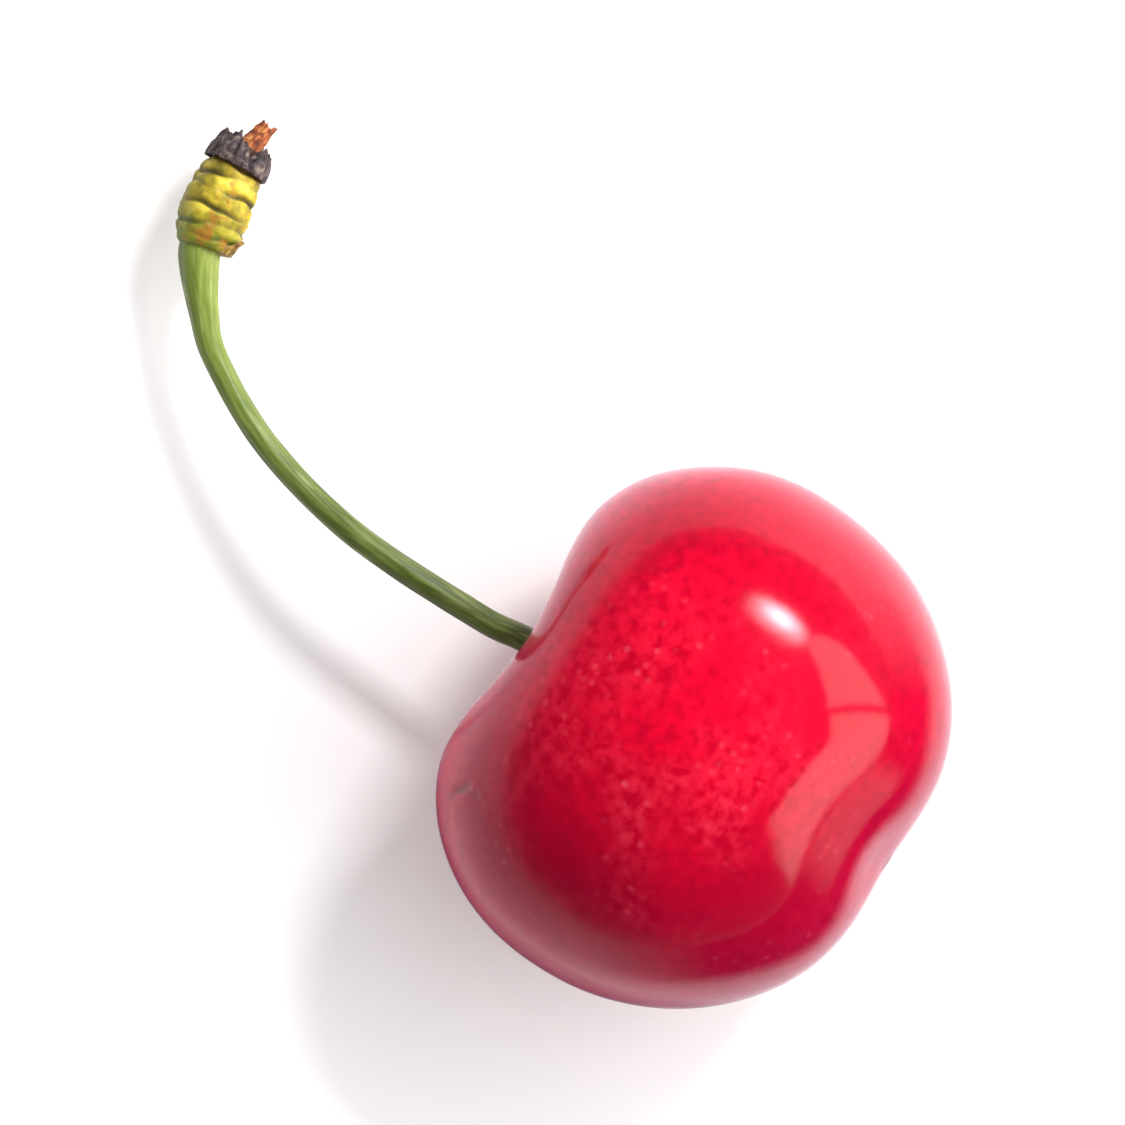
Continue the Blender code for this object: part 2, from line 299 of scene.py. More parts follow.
def build_fruit():
    """The skin as one closed mesh, with the places where it is darker or brown: the seam, the flower's scar,
    and the painted shade of the hollow and the creases.
    """
    ball = bmesh.new()
    bmesh.ops.create_icosphere(ball, subdivisions=7, radius=1.0)
    ball.verts.ensure_lookup_table()
    way = np.array([vert.co[:] for vert in ball.verts])
    way /= np.linalg.norm(way, axis=1, keepdims=True)
    faces = [tuple(vert.index for vert in face.verts) for face in ball.faces]
    ball.free()
    from_stem = np.arccos(np.clip(way[:, 2], -1, 1))
    turn = np.arctan2(way[:, 1], way[:, 0])
    reach = fruit_reach(way)
    skin = way * reach[:, None]
    for number, (size, height) in enumerate(SWELL):
        reach += height * rough(skin, size, seed=3.0 + number)
    # the seam runs down one side and fades out towards the stalk and the flower's scar
    seam = np.exp(-(skin[:, 0] / SEAM_HALF_WIDTH) ** 2) * (way[:, 1] > 0)
    seam *= np.clip(np.sin(from_stem) / SEAM_RUN_OUT, 0, 1)
    reach -= SEAM_DEPTH * seam
    folds = np.cos(PUCKERS * turn + 2.0 * np.sin(turn)) * hump(from_stem / PUCKER_SPREAD)
    reach += PUCKER_DEPTH * folds
    scar_way = np.array((0.0, math.sin(SCAR_TURN), -math.cos(SCAR_TURN)))
    scar = np.exp(-(np.arccos(np.clip(way @ scar_way, -1, 1)) * reach / SCAR_RADIUS) ** 2)
    reach += SCAR_HEIGHT * scar
    # lay the fruit on its side, crease it, and press its underside flat on the table
    lay_down = np.array(Matrix.Rotation(-math.pi / 2 - FRUIT_TILT, 3, "X"))
    laid = (way * reach[:, None]) @ lay_down.T + FRUIT_MIDDLE
    sunk = crease_depth(laid)
    laid -= (way @ lay_down.T) * sunk[:, None]
    laid[:, 2] = np.maximum(laid[:, 2], 0.0)
    hollow = np.exp(-(from_stem / CAVITY_SPREAD) ** 2)
    crease = np.clip(sunk / CREASE_FULL_SHADE, 0, 1)
    return add_piece("cherry_fruit", laid, faces, {
        "seam": seam, "hollow": hollow, "scar": scar, "crease": crease})


fruit = build_fruit()
low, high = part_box("fruit")
print("packed fruit, mm:", np.round(np.array(low) * 1000, 2), np.round(np.array(high) * 1000, 2))

# %% [markdown]
# ## The stalk
# The stalk is a thin green stem, faintly ribbed, that spreads into a small disc where it joins the fruit
# and swells under the knob. It is a skin over rings along one curve. The route repeats the middle line
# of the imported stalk, but its foot goes on down to the bottom of the hollow, where the real one is grown
# into the flesh.

# %% Build the stalk
STALK_ROUTE = np.array((
    tuple((FRUIT_MIDDLE + FRUIT_AXIS * (HALF_LENGTH_STEM - CAVITY_DEPTH)) / MM),
    (-0.25, 10.05, 8.6), (-0.5, 12.55, 8.15), (-0.35, 19.65, 7.25), (1.05, 25.75, 5.85),
    (3.3, 30.15, 4.8), (5.0, 31.95, 4.45), (7.06, 33.54, 4.2), (7.95, 33.9, 4.1),
)) * MM
STALK_RADIUS, STALK_FOOT_RADIUS, STALK_HEAD_RADIUS = 0.64 * MM, 1.15 * MM, 1.08 * MM
STALK_FOOT_LENGTH, STALK_HEAD_LENGTH = 0.9 * MM, 3.3 * MM
RIBS, RIB_HEIGHT, OVAL = 9, 0.022, 0.03             # heights are shares of the radius
TWIST_LENGTH = 14 * MM                              # the ribs turn by one radian in this length
LUMP_HEIGHT, LUMP_SIZE, LUMP_STRETCH = 0.012 * MM, 0.5 * MM, 0.35
STALK_SIDES, STALK_STEP = 48, 0.12 * MM


def build_stalk():
    """The ribbed skin of the stalk, with each point's place before the bend and share of the length."""
    points, along = route_points(STALK_ROUTE, STALK_STEP)
    turns = np.linspace(0, 2 * math.pi, STALK_SIDES, endpoint=False)
    length = along[-1]
    foot = np.exp(-(along / STALK_FOOT_LENGTH) ** 2)
    head = np.exp(-((length - along) / STALK_HEAD_LENGTH) ** 2)
    radius = (STALK_RADIUS + (STALK_FOOT_RADIUS - STALK_RADIUS) * foot
              + (STALK_HEAD_RADIUS - STALK_RADIUS) * head)
    twist = turns[None, :] + along[:, None] / TWIST_LENGTH
    radii = radius[:, None] * (1 + RIB_HEIGHT * np.cos(RIBS * twist) + OVAL * np.cos(2 * twist))
    grown = straight(along, radii, turns)
    lumps = rough(grown * np.array((LUMP_STRETCH, 1, 1)), LUMP_SIZE, seed=8.0)
    radii += LUMP_HEIGHT * lumps[:-2].reshape(radii.shape)
    share = np.concatenate([np.repeat(along / length, STALK_SIDES), [0, 1]])
    faces = ring_faces(len(points), STALK_SIDES)
    return add_piece("cherry_stalk", swept(points, radii, turns), faces, {"grown": grown, "share": share})


stalk = build_stalk()

# %% [markdown]
# ## The knob
# The stalk grew from a short spur, and this one came off with its end: a blunt yellow-green barrel about
# 5 mm long that narrows a little towards its neck. Each year of the spur left a ring scar, so the barrel
# is a pile of uneven ledges. The rings are grooves whose height wanders round the barrel, cut between
# soft bulges, with lumps on top. Each point remembers how deep in a groove it lies, and the finish uses
# that.

# %% Build the knob
KNOB_ROUTE = MM * np.array((
    (7.57, 33.65, 4.15), (9.9, 34.2, 3.95), (12.33, 34.48, 3.7), (14.98, 34.53, 3.4)))
KNOB_LENGTH = 5.5 * MM
KNOB_RADIUS, KNOB_FOOT_RADIUS, KNOB_NECK_RADIUS = 1.76 * MM, 1.12 * MM, 1.05 * MM
KNOB_BLUNTNESS, KNOB_BARREL = 0.35, 5 / 6           # the barrel's share of the length, before the neck
TAPER, TAPER_MIDDLE = 0.15, 0.45                    # wider before the middle, slimmer after it
FOOT_RUN_OUT, FOOT_SHARE = 0.05, 0.16
RING_SCARS = (0.07, 0.21, 0.36, 0.50, 0.65, 0.79)   # where they are, as shares of the length
GROOVE_DEPTH, GROOVE_HALF_WIDTH, LEDGE_SLOPE = 0.12 * MM, 0.085 * MM, 2.6
BULGES = ((0.8 * MM, 0.10 * MM, 1.0), (0.3 * MM, 0.045 * MM, 2.0))      # size, height and seed
KNOB_SIDES, KNOB_STEP = 120, 0.035 * MM


def knob_shape(along, turns):
    """The barrel's radius and how deep in a groove each point is, as rows by columns."""
    t = along[:, None] / KNOB_LENGTH
    end = KNOB_FOOT_RADIUS + (KNOB_NECK_RADIUS - KNOB_FOOT_RADIUS) * t
    swelling = np.clip(np.sin(math.pi * np.clip(t / KNOB_BARREL, 0, 1)), 0, 1) ** KNOB_BLUNTNESS
    barrel = (end + (KNOB_RADIUS - end) * swelling) * (1 + TAPER * (TAPER_MIDDLE - t))
    # on the outer side of the bend the barrel's foot runs out into the stalk
    outer = np.clip(-np.cos(turns), 0, 1)[None, :]
    body = barrel * (1 - FOOT_RUN_OUT * np.exp(-(t / FOOT_SHARE) ** 2) * outer)
    groove = np.zeros(body.shape)
    for number, place in enumerate(RING_SCARS):
        wander = (0.022 * np.sin(turns + 1.9 * number) + 0.014 * np.sin(3 * turns + 4.1 * number)
                  + 0.007 * np.sin(7 * turns + 2.9 * number))
        depth = 0.62 + 0.38 * np.sin(2 * turns + 2.3 * number)
        # steep on the stalk's side and sloping on the other, so that each ring is a ledge
        away = (t - place - wander[None, :]) * KNOB_LENGTH / GROOVE_HALF_WIDTH
        ledge = np.where(away > 0, np.exp(-(away / LEDGE_SLOPE) ** 2), np.exp(-away ** 2))
        groove = np.maximum(groove, ledge * depth[None, :])
    return body - GROOVE_DEPTH * groove, groove


def build_knob():
    """The barrel's skin, with each point's place before the bend and its depth in a groove."""
    points, along = route_points(KNOB_ROUTE, KNOB_STEP)
    inside = along <= KNOB_LENGTH
    points, along = points[inside], along[inside]
    turns = np.linspace(0, 2 * math.pi, KNOB_SIDES, endpoint=False)
    radii, groove = knob_shape(along, turns)
    grown = straight(along, radii, turns)
    bulges = sum(height * rough(grown, size, seed) for size, height, seed in BULGES)
    radii += bulges[:-2].reshape(radii.shape)
    values = {"grown": grown, "groove": np.concatenate([groove.ravel(), [0, 0]])}
    return add_piece("spur_end", swept(points, radii, turns), ring_faces(len(points), KNOB_SIDES), values)


knob = build_knob()

# %% [markdown]
# ## The torn tip
# Where the spur broke, a stump of wood stands out of the scales. It tore, so its end is a low crown of
# fibres of different lengths round a hollow. The rings rise to a height that changes from fibre to
# fibre, then the last ones dive into the middle.

# %% Build the torn tip
TIP_START = KNOB_LENGTH - 0.2 * MM
TIP_LENGTH, TIP_RADIUS, TIP_LEAN = 1.75 * MM, 0.6 * MM, 0.42 * MM
TIP_WALL = 0.7                      # the share of the rings that climb before the rest dive
TIP_NARROWS, TIP_CLOSES, TIP_SINKS = 0.3, 0.9, 0.35     # shares of the radius and of the height
TIP_CRUMPLE, TIP_CRUMPLE_SIZE = 0.06 * MM, 0.25 * MM
TIP_SIDES, TIP_RINGS = 56, 34


def build_tip():
    """The stump of torn wood, leaning a little out of the knob's neck."""
    points, along = route_points(KNOB_ROUTE, KNOB_STEP)
    forward, sides, ups = frames_on(points)
    start = np.searchsorted(along, TIP_START)
    turns = np.linspace(0, 2 * math.pi, TIP_SIDES, endpoint=False)
    outward = np.cos(turns)[:, None] * sides[start] + np.sin(turns)[:, None] * ups[start]
    splinter = (0.94 + 0.06 * np.sin(3 * turns + 0.6) + 0.03 * np.sin(7 * turns + 2.0)
                + 0.02 * np.sin(13 * turns))
    rings = []
    for t in np.linspace(0, 1, TIP_RINGS):
        rise = min(1.0, t / TIP_WALL)
        dive = max(0.0, (t - TIP_WALL) / (1 - TIP_WALL))
        height = TIP_LENGTH * splinter * rise * (1 - TIP_SINKS * dive ** 2)
        fibre = 1 + 0.07 * np.sin(9 * turns + 2 * t) + 0.04 * np.sin(17 * turns - t)
        radius = TIP_RADIUS * (1 - TIP_NARROWS * rise) * (1 - TIP_CLOSES * dive) * fibre
        middle = points[start] + sides[start] * TIP_LEAN * rise
        rings.append(middle + forward[start] * height[:, None] + outward * radius[:, None])
    stacked = np.vstack(rings + [rings[0].mean(axis=0)[None, :], rings[-1].mean(axis=0)[None, :]])
    stacked += (TIP_CRUMPLE * rough(stacked, TIP_CRUMPLE_SIZE, seed=5.0))[:, None] * sides[start]
    return add_piece("torn_wood_tip", stacked, ring_faces(TIP_RINGS, TIP_SIDES))


tip = build_tip()

# %% [markdown]
# ## The dry scales and the bract
# The bud scales dried to thin brittle shells, cupped round the neck of the knob, with ragged lips and
# lengthwise wrinkles. The bract is one more such leaf at the foot. Both are sheets of rows that the
# Solidify modifier gives a thickness, so the lips show their edge and the backs are finished too.

# %% Build the scales
SCALES = ((1.7 * MM, -60), (1.4 * MM, 30), (1.5 * MM, 118), (1.5 * MM, 208))    # height, turn in degrees
SCALE_HALF_ARC = math.radians(50)
SCALE_START, SCALE_FOOT_RADIUS, SCALE_TOP_RADIUS = 4.3 * MM, 1.62 * MM, 1.25 * MM
SCALE_WRINKLE, SCALE_CRUMPLE, SCALE_CRUMPLE_SIZE = 0.045 * MM, 0.05 * MM, 0.4 * MM
SCALE_THICKNESS, SCALE_ROWS, SCALE_COLUMNS = 0.13 * MM, 26, 34


def thicken(piece, thickness):
    """Give a sheet its thickness, half to each side."""
    solid = piece.modifiers.new("thickness", "SOLIDIFY")
    solid.thickness = thickness
    solid.offset = 0.0
    return piece


def build_scale(number, length, bearing):
    """One scale: rows that climb the neck and close in, under a lip with a ragged outline."""
    points, along = route_points(KNOB_ROUTE, KNOB_STEP)
    _, sides, ups = frames_on(points)
    across = np.linspace(-1, 1, SCALE_COLUMNS)
    lip = (1 - 0.35 * across ** 2 + 0.09 * np.sin(7 * across + 2.7 * number)
           + 0.05 * np.sin(19 * across + number))
    rows = []
    for rise in np.linspace(0, 1, SCALE_ROWS):
        reach = SCALE_START + length * rise * lip
        place = np.clip(np.searchsorted(along, reach), 0, len(along) - 1)
        radius = SCALE_FOOT_RADIUS + (SCALE_TOP_RADIUS - SCALE_FOOT_RADIUS) * rise ** 2
        wrinkle = SCALE_WRINKLE * np.cos(17 * across + 5 * number) * (0.4 + rise)
        turn = math.radians(bearing) + SCALE_HALF_ARC * (1 - 0.35 * rise ** 2) * across
        out = np.cos(turn)[:, None] * sides[place] + np.sin(turn)[:, None] * ups[place]
        rows.append(points[place] + out * (radius + wrinkle)[:, None])
    grid = np.vstack(rows)
    grid += rough(grid, SCALE_CRUMPLE_SIZE, seed=10.0 + number)[:, None] * SCALE_CRUMPLE
    piece = add_piece(f"dry_scale_{number}", grid, sheet_faces(SCALE_ROWS, SCALE_COLUMNS))
    return thicken(piece, SCALE_THICKNESS)


scales = [build_scale(number, *measures) for number, measures in enumerate(SCALES, start=1)]

# %% Build the bract
BRACT_LENGTH, BRACT_HALF_WIDTH, BRACT_THICKNESS = 1.2 * MM, 0.62 * MM, 0.15 * MM
BRACT_TURN = math.radians(30)       # from level towards the top, round the knob's foot
BRACT_CLEAR, BRACT_AHEAD = 0.24 * MM, 0.08 * MM
BRACT_SPREAD = 0.9                  # how far it stands out for each step ahead
BRACT_TAPER, BRACT_CUP = 0.92, 0.35
BRACT_CRUMPLE, BRACT_CRUMPLE_SIZE = 0.06 * MM, 0.35 * MM
BRACT_ROWS, BRACT_COLUMNS = 24, 20


def build_bract():
    """The dry leaf at the knob's foot: a cupped point that stands out and ahead."""
    points, _ = route_points(KNOB_ROUTE, KNOB_STEP)
    forward, sides, ups = frames_on(points)
    away = sides[0] * math.cos(BRACT_TURN) + ups[0] * math.sin(BRACT_TURN)
    across = ups[0] * math.cos(BRACT_TURN) - sides[0] * math.sin(BRACT_TURN)
    foot = points[0] + away * (KNOB_FOOT_RADIUS + BRACT_CLEAR) + forward[0] * BRACT_AHEAD
    outward = (away * BRACT_SPREAD + forward[0]) / math.hypot(BRACT_SPREAD, 1)
    places = np.linspace(-1, 1, BRACT_COLUMNS)
    rows = []
    for t in np.linspace(0, 1, BRACT_ROWS):
        half = BRACT_HALF_WIDTH * (1 - BRACT_TAPER * t ** 0.9) * (1 + 0.12 * math.sin(11 * t))
        cup = -BRACT_CUP * half * places ** 2 + 0.05 * MM * np.cos(9 * places)
        middle = foot + outward * BRACT_LENGTH * t * (1 - 0.12 * t)
        rows.append(middle + across * (half * places)[:, None] + away * cup[:, None])
    grid = np.vstack(rows)
    grid += rough(grid, BRACT_CRUMPLE_SIZE, seed=20.0)[:, None] * BRACT_CRUMPLE
    return thicken(add_piece("dry_bract_leaf", grid, sheet_faces(BRACT_ROWS, BRACT_COLUMNS)), BRACT_THICKNESS)


bract = build_bract()

# %% [markdown]
# ## Cherry skin
# The skin of a ripe sweet cherry is a thin wax cuticle over a layer of red pigment, on wet flesh that lets
# light through. The wax gives a sharp gloss, so roughness is low. Plant wax has an IOR of about 1.45, but
# over wet flesh it mirrors less, and 1.32 gives the faint mirror of a real skin. Light goes into the flesh
# and comes out a millimetre or two further on, mostly red, which keeps the shaded side warm. The pigment is
# uneven: clouds of ripeness, clumps of dark cells, milky wax in patches, and pale pores, the lenticels, about
# 0.7 mm apart. The flesh colour also carries painted light and shade: lighter on top and on the side the key
# lamp lights, darker on the far side, lighter towards the stalk round the sides, and darker in the stalk's
# hollow and in the creases. All of it follows places on the fruit, so it stays put from every side.

# %% Sizes on the skin
CLOUD_SIZE, PATCH_SIZE, CELL_SIZE, PORE_SPACING = 7.0, 4.5, 0.6, 0.7      # in mm
# painted light: the flesh is painted brightest round this spot on top of the fruit, where the lamps light it
# most
PAINTED_LIGHT_SPOT = (0.6 * MM, 1.3 * MM, 22.5 * MM)       # where the sun reached it best
MILKY_SPOT = (-2.5 * MM, 1.0 * MM, 22.0 * MM)       # the middle of the milky patches
LIT_SIDE_WAY, STALKWARD = (0.98, 0.12, 0.0), (0.3, 0.95, 0.0)
MIX_COLOURS, TIMES = {"data_type": "RGBA"}, {"operation": "MULTIPLY"}
FLESH_STOPS = ((0.0, "#86031C"), (0.4, "#A20421"), (0.75, "#BE0526"), (1.0, "#D4062B"))
print("pores to the square centimetre:", round((10 / PORE_SPACING) ** 2))


# %% Painted light and ripeness
def painted_light_and_ripeness(tree, spot):
    """0 for the darkest flesh and 1 for the brightest, as a node: painted light and shade, with clouds of
    ripeness.
    """
    # painted light and shade: on top, brightest on the side the key lamp lights and round a spot on the top,
    # darkest on the far side
    toward_lit_side = add(tree, "VectorMath", {"operation": "DOT_PRODUCT"}, {0: spot, 1: LIT_SIDE_WAY})
    painted_lit_side = add(tree, "MapRange", None, {
        "Value": toward_lit_side, "From Min": -12 * MM, "From Max": 7 * MM, "To Max": 0.64})
    from_light_spot = add(tree, "VectorMath", {"operation": "DISTANCE"}, {0: spot, 1: PAINTED_LIGHT_SPOT})
    painted_top_light = add(tree, "MapRange", {"interpolation_type": "SMOOTHSTEP"}, {
        "Value": from_light_spot, "From Min": 3 * MM, "From Max": 11.5 * MM, "To Min": 0.5, "To Max": 0.0})
    painted_top_and_side = add(tree, "Math", {"operation": "ADD"}, {0: painted_lit_side, 1: painted_top_light})
    # painted light and shade: lower round the sides the flesh is painted darker away from the stalk and
    # lighter towards it
    stalkward = add(tree, "VectorMath", {"operation": "DOT_PRODUCT"}, {0: spot, 1: STALKWARD})
    lower = add(tree, "MapRange", None, {
        "Value": stalkward, "From Min": -12 * MM, "From Max": 10 * MM, "To Min": 0.15, "To Max": 0.9})
    height = add(tree, "SeparateXYZ", None, {0: spot}).outputs["Z"]
    over = add(tree, "MapRange", {"interpolation_type": "SMOOTHSTEP"}, {
        "Value": height, "From Min": 14 * MM, "From Max": 18.5 * MM})
    painted_light_all_round = add(tree, "Mix", None, {"Factor": over, "A": lower, "B": painted_top_and_side})
    cloud = add(tree, "TexNoise", None, {"Vector": spot, "Scale": per_mm(CLOUD_SIZE), "Detail": 3.0})
    drift = add(tree, "MapRange", None, {
        "Value": cloud, "From Min": 0.3, "From Max": 0.7, "To Min": -0.12, "To Max": 0.12})
    return add(tree, "Math", {"operation": "ADD", "use_clamp": True}, {0: painted_light_all_round, 1: drift})


# %% Skin finish
def cherry_skin():
    """Waxy skin over wet red flesh, by the place on the fruit."""
    material, tree = new_material("cherry_skin")
    spot = add(tree, "TexCoord").outputs["Object"]
    # the flesh colour carries the painted light and shade worked out above
    flesh = add(tree, "ValToRGB", {"stops": FLESH_STOPS}, {"Fac": painted_light_and_ripeness(tree, spot)})
    # fine mottle: darker cells all over, milky wax in patches on the upper side
    grain = add(tree, "TexNoise", None, {"Vector": spot, "Scale": per_mm(CELL_SIZE), "Detail": 2.0})
    cell = add(tree, "ValToRGB", {"stops": ((0.30, "#B4B4B4"), (0.60, "#000000"))}, {"Fac": grain})
    dappled = add(tree, "Mix", MIX_COLOURS, {"Factor": cell, "A": flesh, "B": "#86001A"})
    patches = add(tree, "TexNoise", None, {"Vector": spot, "Scale": per_mm(PATCH_SIZE), "Detail": 2.0})
    where = add(tree, "ValToRGB", {"stops": ((0.40, "#101010"), (0.62, "#FFFFFF"))}, {"Fac": patches})
    from_top = add(tree, "VectorMath", {"operation": "DISTANCE"}, {0: spot, 1: MILKY_SPOT})
    upper = add(tree, "MapRange", None, {
        "Value": from_top, "From Min": 3.0 * MM, "From Max": 11.0 * MM, "To Min": 1.0, "To Max": 0.35})
    waxy = add(tree, "Math", TIMES, {0: where, 1: upper})
    flecks = add(tree, "ValToRGB", {"stops": ((0.38, "#000000"), (0.78, "#A8A8A8"))}, {"Fac": grain})
    thick = add(tree, "Math", TIMES, {0: waxy, 1: upper})
    milk = add(tree, "Math", TIMES, {0: flecks, 1: thick})
    mottled = add(tree, "Mix", MIX_COLOURS, {"Factor": milk, "A": dappled, "B": "#D04058"})
    # pores: a small round dot in each cell, some strong and some faint
    cells = add(tree, "TexVoronoi", None, {"Vector": spot, "Scale": per_mm(PORE_SPACING)})
    dots = add(tree, "ValToRGB", {"stops": ((0.0, "#D8D8D8"), (0.36, "#000000"))}, {"Fac": cells})
    chance = add(tree, "SeparateColor", None, {0: cells.outputs["Color"]})
    some = add(tree, "MapRange", None, {"Value": chance, "From Min": 0.3, "To Max": 0.75})
    chosen = add(tree, "Math", TIMES, {0: dots, 1: some})
    strength = add(tree, "Math", TIMES, {0: chosen, 1: waxy})
    pored = add(tree, "Mix", MIX_COLOURS, {"Factor": strength, "A": mottled, "B": "#E0647A"})
    # darker along the seam and brown at the flower's scar; painted shade darkens the hollow and the creases
    hollow, seam, crease, scar = (add(tree, "Attribute", {"attribute_name": name}).outputs["Fac"]
                                  for name in ("hollow", "seam", "crease", "scar"))
    shade = add(tree, "ValToRGB", {"stops": ((0.35, "#000000"), (1.0, "#C8C8C8"))}, {"Fac": hollow})
    sunk = add(tree, "Mix", MIX_COLOURS, {"Factor": shade, "A": pored, "B": "#6A0A14"})
    line = add(tree, "Math", TIMES, {0: seam, 1: 0.55})
    seamed = add(tree, "Mix", MIX_COLOURS, {"Factor": line, "A": sunk, "B": "#780014"})
    crease_shaded = add(tree, "Mix", MIX_COLOURS, {"Factor": crease, "A": seamed, "B": "#4A0A14"})
    colour = add(tree, "Mix", MIX_COLOURS, {"Factor": scar, "A": crease_shaded, "B": "#6B3A1C"})
    # the wax: nearly even, a little duller on the milky patches
    gloss = add(tree, "MapRange", None, {"Value": patches, "To Min": 0.08, "To Max": 0.14})
    bump = add(tree, "Bump", None, {"Height": grain, "Strength": 0.08, "Distance": 0.05 * MM})
    shader = add(tree, "BsdfPrincipled", None, {
        "Base Color": colour, "Roughness": gloss, "Normal": bump, "IOR": 1.32,
        "Subsurface Weight": 0.55, "Subsurface Radius": (1.0, 0.12, 0.08), "Subsurface Scale": 2.2 * MM,
        "Sheen Weight": 0.06, "Sheen Roughness": 0.5, "Sheen Tint": "#8A48FF"})
    add(tree, "OutputMaterial", None, {"Surface": shader})
    return material


skin_finish = cherry_skin()
print("cherry skin:", len(skin_finish.node_tree.nodes), "nodes")

# %% [markdown]
# ## Stalk, bark and dried leaf
# The stalk is green bark, still alive: a satin surface with fine lengthwise fibres, darker by the fruit and
# yellower by the knob, with painted shade on the outer side of its bend. The knob's bark is corky and dull,
# yellow on the ledges and olive to brown in the scars, with painted olive-brown shade on the outer side of
# its bend. The scales are dead leaf, brown-black with a grey bloom where they are worn, the bract is
# straw-coloured dry leaf, and the torn tip is raw wood that oxidised to orange. Real fibres and cork cells
# are some 0.02 to 0.03 mm wide. They are drawn five to ten times coarser, or they would not show.

# %% Green bark of the stalk
STALK_COLOURS = ((0.0, "#36420F"), (0.12, "#465616"), (0.5, "#5A6C22"), (0.8, "#74882E"), (1.0, "#8EA03C"))
FIBRE_WIDTH, FIBRE_STRETCH = 0.22, 0.12      # in mm, and how much slower they change along the stalk


def green_bark():
    """Satin green bark with lengthwise fibres, by the place before the stalk was bent."""
    material, tree = new_material("green_bark")
    grown = add(tree, "Attribute", {"attribute_name": "grown"}).outputs["Vector"]
    fibre_space = add(tree, "Mapping", None, {"Vector": grown, "Scale": (FIBRE_STRETCH, 1.0, 1.0)})
    fibres = add(tree, "TexNoise", None, {"Vector": fibre_space, "Scale": per_mm(FIBRE_WIDTH), "Detail": 3.0})
    share = add(tree, "Attribute", {"attribute_name": "share"}).outputs["Fac"]
    length = add(tree, "ValToRGB", {"stops": STALK_COLOURS}, {"Fac": share})
    streak = add(tree, "ValToRGB", {"stops": ((0.35, "#323E10"), (0.7, "#96A258"))}, {"Fac": fibres})
    fibred = add(tree, "Mix", MIX_COLOURS, {"Factor": 0.35, "A": length, "B": streak})
    # painted shade: darker green on the outer side of the bend, the side away from the lamps
    across = add(tree, "SeparateXYZ", None, {0: grown}).outputs["Y"]
    outer = add(tree, "MapRange", None, {
        "Value": across, "From Min": -0.8 * MM, "From Max": 0.1 * MM, "To Min": 0.6, "To Max": 0.0})
    shade_sided = add(tree, "Mix", MIX_COLOURS, {"Factor": outer, "A": fibred, "B": "#2C3A0C"})
    flecks = add(tree, "TexVoronoi", None, {"Vector": fibre_space, "Scale": per_mm(0.5)})
    fleck = add(tree, "ValToRGB", {"stops": ((0.08, "#B0B0B0"), (0.2, "#000000"))}, {"Fac": flecks})
    colour = add(tree, "Mix", MIX_COLOURS, {"Factor": fleck, "A": shade_sided, "B": "#AAB672"})
    satin = add(tree, "MapRange", None, {"Value": fibres, "To Min": 0.34, "To Max": 0.52})
    bump = add(tree, "Bump", None, {"Height": fibres, "Strength": 0.35, "Distance": 0.05 * MM})
    shader = add(tree, "BsdfPrincipled", None, {
        "Base Color": colour, "Roughness": satin, "Normal": bump, "IOR": 1.45,
        "Subsurface Weight": 0.12, "Subsurface Radius": (0.6, 1.0, 0.2), "Subsurface Scale": 0.4 * MM})
    add(tree, "OutputMaterial", None, {"Surface": shader})
    return material


stalk_finish = green_bark()
print("green bark:", len(stalk_finish.node_tree.nodes), "nodes")

# %% Corky bark of the knob
LEDGE_COLOURS = ((0.34, "#7A7418"), (0.5, "#BCA626"), (0.64, "#E2CC48"))
SCAR_COLOURS = ((0.3, "#3A360C"), (0.6, "#5E5212"), (0.75, "#5A3010"))
BARK_PATCH, CORK_SPOT, CORK_GRAIN = 1.0, 0.7, 0.16       # in mm


